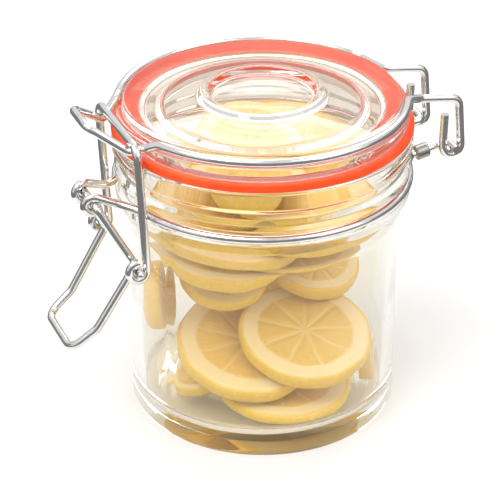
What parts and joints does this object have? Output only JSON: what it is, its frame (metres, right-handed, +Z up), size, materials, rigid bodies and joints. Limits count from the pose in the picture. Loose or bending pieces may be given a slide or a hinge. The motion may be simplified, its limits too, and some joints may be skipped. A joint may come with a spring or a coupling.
{
  "type": "clip-top glass storage jar",
  "caption": "Small clip-top preserve jar of clear glass with a rubber ring, a glass lid and a wire closure, latched shut over a heap of lemon slices.",
  "frame": {"origin": "centre of the jar's foot, on the surface it stands on", "axes": "+Z up along the jar's axis, -Y towards the latch, +Y towards the hinge, X along the hinge bar"},
  "size_m": [0.0682, 0.0971, 0.0798],
  "materials": {
    "glass": "clear, smooth",
    "gasket_rubber": "smooth orange-red",
    "wire": "bright drawn wire",
    "ferrule": "dull crimped sleeve",
    "lemon": "moist fruit"
  },
  "bodies": {
    "root": {"jar_glass": "glass", "lid_glass": "glass", "gasket": "gasket_rubber", "lid_wire": "wire", "neck_wire": "wire", "neck_ferrules": "ferrule", "link": "wire", "lever": "wire", "lemon_floor": "lemon", "lemon_floor_small": "lemon", "lemon_low_left": "lemon", "lemon_low_right": "lemon", "lemon_middle_low": "lemon", "lemon_middle_right": "lemon", "lemon_middle_left": "lemon", "lemon_middle_back": "lemon", "lemon_middle_front": "lemon", "lemon_neck_left": "lemon", "lemon_neck_right": "lemon", "lemon_top": "lemon", "lemon_wall_left": "lemon", "lemon_wall_right": "lemon", "lemon_back_low": "lemon", "lemon_back_high": "lemon"}
  },
  "joints": []
}
